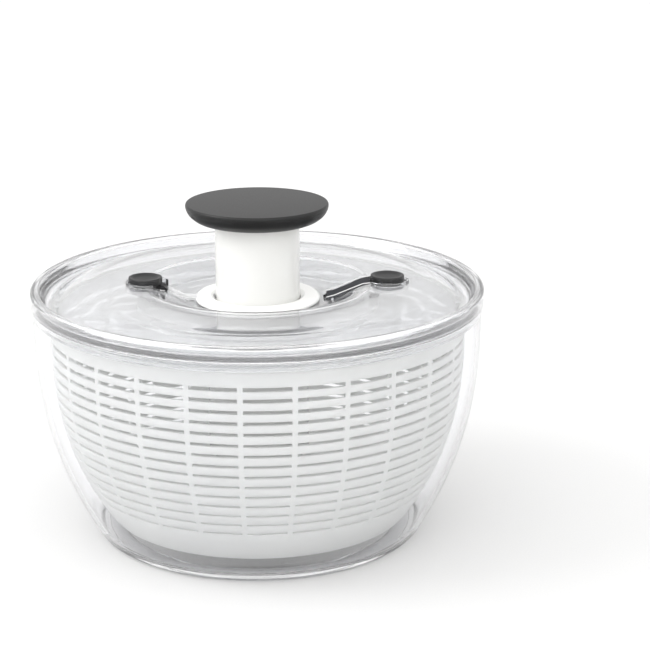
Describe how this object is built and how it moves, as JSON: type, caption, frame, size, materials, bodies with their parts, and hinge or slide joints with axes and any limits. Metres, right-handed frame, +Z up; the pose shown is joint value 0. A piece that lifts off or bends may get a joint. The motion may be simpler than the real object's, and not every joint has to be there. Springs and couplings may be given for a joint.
{
  "type": "salad spinner",
  "caption": "Hand-pumped salad spinner: clear bowl, slotted draining basket, clear lid with a push knob, brake button and lock.",
  "frame": {"origin": "centre of the bowl's foot on the surface it stands on", "axes": "+Z up along the spin axis and the plunger; +X towards the brake button, -X towards the lock button"},
  "size_m": [0.268, 0.268, 0.1987],
  "materials": {
    "clear_plastic": "clear, polished",
    "milky_plastic": "milky translucent, satin",
    "white_plastic": "glossy warm white",
    "soft_black": "soft-touch, satin black",
    "dark_grey_plastic": "satin dark grey",
    "grey_nylon": "satin, natural nylon",
    "ring_rubber": "translucent, non-slip",
    "pad_rubber": "matt",
    "steel": "bright drawn"
  },
  "bodies": {
    "bowl": {"bowl": "clear_plastic", "foot_ring": "ring_rubber"},
    "basket": {"basket": "milky_plastic"},
    "lid": {"lid_cover": "clear_plastic", "plunger_collar": "white_plastic", "retaining_ring": "white_plastic", "brake_pin": "steel", "brake_spring": "steel", "lock_detent": "steel", "return_spring": "steel"},
    "plunger": {"plunger_tube": "white_plastic", "drive_nut": "grey_nylon", "knob_core": "dark_grey_plastic", "knob_screw_1": "steel", "knob_screw_2": "steel", "knob_screw_3": "steel", "knob_cap": "soft_black"},
    "spindle": {"spiral_spindle": "grey_nylon", "clutch_driver": "grey_nylon", "clutch_pawl_1": "white_plastic", "clutch_pawl_2": "white_plastic", "spring_seat": "steel"},
    "drive": {"drive_plate": "clear_plastic", "drive_hub": "white_plastic", "hub_screw_1": "steel", "hub_screw_2": "steel", "hub_screw_3": "steel", "clutch_ring": "grey_nylon", "thrust_washer": "steel"},
    "brake": {"brake_lever": "dark_grey_plastic", "brake_button": "soft_black", "brake_pad": "pad_rubber"},
    "lock": {"lock_button": "soft_black", "lock_bolt": "clear_plastic"}
  },
  "joints": [
    {"name": "lid_lift", "type": "slide", "parent": "bowl", "child": "lid", "axis": [0, 0, 1], "range_m": [0, 0.15]},
    {"name": "basket_spin", "type": "hinge", "parent": "bowl", "child": "basket", "pos_m": [0, 0, 0.017], "axis": [0, 0, 1], "continuous": true},
    {"name": "plunger_press", "type": "slide", "parent": "lid", "child": "plunger", "axis": [0, 0, 1], "range_m": [-0.042, 0], "stiffness_N_per_m": 200, "springref_m": 0.02, "deforming": ["return_spring"]},
    {"name": "spindle_turn", "type": "hinge", "parent": "lid", "child": "spindle", "pos_m": [0, 0, 0.05], "axis": [0, 0, 1], "range_deg": [-352, 0]},
    {"name": "plate_spin", "type": "hinge", "parent": "lid", "child": "drive", "pos_m": [0, 0, 0.13], "axis": [0, 0, 1], "continuous": true},
    {"name": "brake_press", "type": "hinge", "parent": "lid", "child": "brake", "pos_m": [0.044, 0, 0.1415], "axis": [0, 1, 0], "range_deg": [0, 2.4], "stiffness_Nm_per_rad": 0.6, "springref_deg": -4.58, "deforming": ["brake_spring"]},
    {"name": "lock_slide", "type": "slide", "parent": "lid", "child": "lock", "axis": [1, 0, 0], "range_m": [0, 0.0024]}
  ],
  "couplings": [
    {"joint": "spindle_turn", "follows": "plunger_press", "rad_per_m": 146.12},
    {"joint": "plate_spin", "follows": "basket_spin", "ratio": 1}
  ]
}
